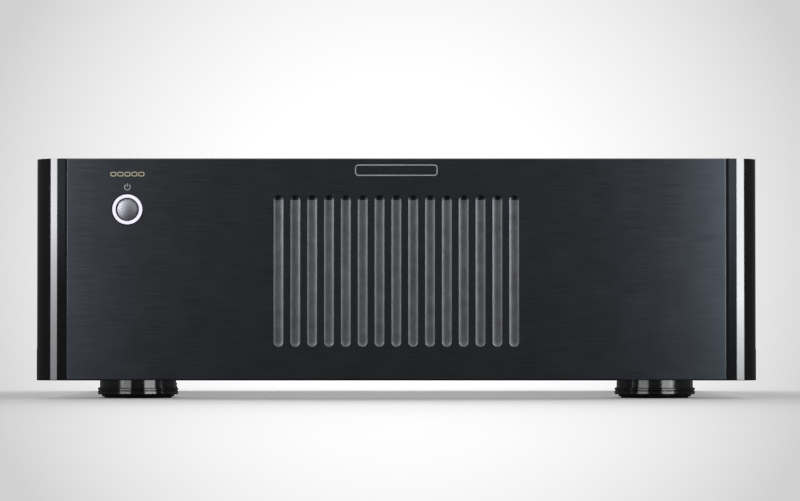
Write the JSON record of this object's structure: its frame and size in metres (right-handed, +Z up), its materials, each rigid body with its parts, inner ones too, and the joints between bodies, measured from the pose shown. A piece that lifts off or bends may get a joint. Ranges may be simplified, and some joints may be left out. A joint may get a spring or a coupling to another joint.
{
  "type": "power amplifier",
  "caption": "Hi-fi power amplifier case with a fluted black front panel, rounded gloss end columns, a lit power button, round feet and rear loudspeaker posts.",
  "frame": {"origin": "on the surface the feet stand on, under the middle of the bounding box", "axes": "+X to the right seen from the front, +Y to the rear, +Z up"},
  "size_m": [0.434, 0.407, 0.1442],
  "materials": {
    "black_anodised_aluminium": "brushed, black anodised",
    "gloss_black_column": "gloss black lacquer",
    "milk_white_polycarbonate": "frosted, translucent",
    "satin_aluminium": "satin, clear anodised",
    "black_powder_coat": "fine-textured powder coat",
    "zinc_plated_steel": "zinc plated",
    "black_screw": "black oxide",
    "gloss_black_abs": "moulded, gloss",
    "black_rubber": "matt",
    "black_diecast": "black chromate",
    "black_moulding": "fine moulded texture",
    "grey_lever_plastic": "moulded",
    "gold_plate": "gold plated, bright",
    "white_insulator": "moulded",
    "red_post_plastic": "moulded, clear red over metal",
    "black_post_plastic": "moulded",
    "nickel_blade": "nickel plated",
    "fuse_glass": "clear glass with plated ends",
    "green_laminate": "solder mask",
    "natural_aluminium": "extruded",
    "capacitor_sleeve": "shrink sleeve",
    "ferrite_and_tape": "ferrite halves and wound bobbin",
    "copper_winding": "enamelled copper wire",
    "wire_sleeve": "PVC insulation"
  },
  "bodies": {
    "case": {"front_panel": "black_anodised_aluminium", "end_column_left": "gloss_black_column", "end_column_right": "gloss_black_column", "power_light_ring": "milk_white_polycarbonate", "power_led_board": "green_laminate", "power_switch_body": "black_moulding", "front_subframe": "zinc_plated_steel", "front_screws": "zinc_plated_steel", "bottom_tray": "black_powder_coat", "rear_panel": "black_powder_coat", "top_cover": "black_powder_coat", "case_screws": "black_screw", "foot_front_left": "gloss_black_abs", "foot_front_right": "gloss_black_abs", "foot_rear_left": "gloss_black_abs", "foot_rear_right": "gloss_black_abs", "foot_pads": "black_rubber", "foot_fixings": "zinc_plated_steel", "balanced_shells": "black_diecast", "balanced_inserts": "black_moulding", "phono_barrels": "gold_plate", "phono_insulators": "white_insulator", "slide_switch_bodies": "black_moulding", "trigger_jacks": "black_moulding", "post_collars": "black_post_plastic", "post_studs": "gold_plate", "mains_inlet_body": "black_moulding", "mains_inlet_pins": "nickel_blade", "amplifier_boards": "green_laminate", "heat_sinks": "natural_aluminium", "capacitors": "capacitor_sleeve", "module_transformers": "ferrite_and_tape", "output_inductors": "copper_winding", "mains_board": "green_laminate", "board_standoffs": "zinc_plated_steel", "input_board": "green_laminate", "speaker_wires": "wire_sleeve", "signal_leads": "wire_sleeve", "mains_wires": "wire_sleeve"},
    "power_button": {"power_button": "satin_aluminium", "switch_plunger": "grey_lever_plastic"},
    "mode_switch": {"mode_switch_lever": "grey_lever_plastic"},
    "fuse_drawer": {"fuse_drawer": "black_moulding", "fuse_links": "fuse_glass"},
    "input_switch_1": {"input_switch_lever_1": "grey_lever_plastic"},
    "input_switch_2": {"input_switch_lever_2": "grey_lever_plastic"},
    "input_switch_3": {"input_switch_lever_3": "grey_lever_plastic"},
    "input_switch_4": {"input_switch_lever_4": "grey_lever_plastic"},
    "input_switch_5": {"input_switch_lever_5": "grey_lever_plastic"},
    "post_cap_black_1": {"post_cap_black_1": "black_post_plastic"},
    "post_cap_black_2": {"post_cap_black_2": "black_post_plastic"},
    "post_cap_black_3": {"post_cap_black_3": "black_post_plastic"},
    "post_cap_black_4": {"post_cap_black_4": "black_post_plastic"},
    "post_cap_black_5": {"post_cap_black_5": "black_post_plastic"},
    "post_cap_red_1": {"post_cap_red_1": "red_post_plastic"},
    "post_cap_red_2": {"post_cap_red_2": "red_post_plastic"},
    "post_cap_red_3": {"post_cap_red_3": "red_post_plastic"},
    "post_cap_red_4": {"post_cap_red_4": "red_post_plastic"},
    "post_cap_red_5": {"post_cap_red_5": "red_post_plastic"}
  },
  "joints": [
    {"name": "power_button_press", "type": "slide", "parent": "case", "child": "power_button", "axis": [0, 1, 0], "range_m": [0, 0.003], "stiffness_N_per_m": 300, "springref_m": -0.002},
    {"name": "mode_switch_slide", "type": "slide", "parent": "case", "child": "mode_switch", "axis": [1, 0, 0], "range_m": [-0.003, 0.003]},
    {"name": "fuse_drawer_slide", "type": "slide", "parent": "case", "child": "fuse_drawer", "axis": [0, 1, 0], "range_m": [0, 0.022]},
    {"name": "input_switch_1_slide", "type": "slide", "parent": "case", "child": "input_switch_1", "axis": [1, 0, 0], "range_m": [0, 0.0032]},
    {"name": "input_switch_2_slide", "type": "slide", "parent": "case", "child": "input_switch_2", "axis": [1, 0, 0], "range_m": [0, 0.0032]},
    {"name": "input_switch_3_slide", "type": "slide", "parent": "case", "child": "input_switch_3", "axis": [1, 0, 0], "range_m": [0, 0.0032]},
    {"name": "input_switch_4_slide", "type": "slide", "parent": "case", "child": "input_switch_4", "axis": [1, 0, 0], "range_m": [0, 0.0032]},
    {"name": "input_switch_5_slide", "type": "slide", "parent": "case", "child": "input_switch_5", "axis": [1, 0, 0], "range_m": [0, 0.0032]},
    {"name": "post_black_1_unscrew", "type": "slide", "parent": "case", "child": "post_cap_black_1", "axis": [0, 1, 0], "range_m": [0, 0.005]},
    {"name": "post_black_2_unscrew", "type": "slide", "parent": "case", "child": "post_cap_black_2", "axis": [0, 1, 0], "range_m": [0, 0.005]},
    {"name": "post_black_3_unscrew", "type": "slide", "parent": "case", "child": "post_cap_black_3", "axis": [0, 1, 0], "range_m": [0, 0.005]},
    {"name": "post_black_4_unscrew", "type": "slide", "parent": "case", "child": "post_cap_black_4", "axis": [0, 1, 0], "range_m": [0, 0.005]},
    {"name": "post_black_5_unscrew", "type": "slide", "parent": "case", "child": "post_cap_black_5", "axis": [0, 1, 0], "range_m": [0, 0.005]},
    {"name": "post_red_1_unscrew", "type": "slide", "parent": "case", "child": "post_cap_red_1", "axis": [0, 1, 0], "range_m": [0, 0.005]},
    {"name": "post_red_2_unscrew", "type": "slide", "parent": "case", "child": "post_cap_red_2", "axis": [0, 1, 0], "range_m": [0, 0.005]},
    {"name": "post_red_3_unscrew", "type": "slide", "parent": "case", "child": "post_cap_red_3", "axis": [0, 1, 0], "range_m": [0, 0.005]},
    {"name": "post_red_4_unscrew", "type": "slide", "parent": "case", "child": "post_cap_red_4", "axis": [0, 1, 0], "range_m": [0, 0.005]},
    {"name": "post_red_5_unscrew", "type": "slide", "parent": "case", "child": "post_cap_red_5", "axis": [0, 1, 0], "range_m": [0, 0.005]}
  ]
}
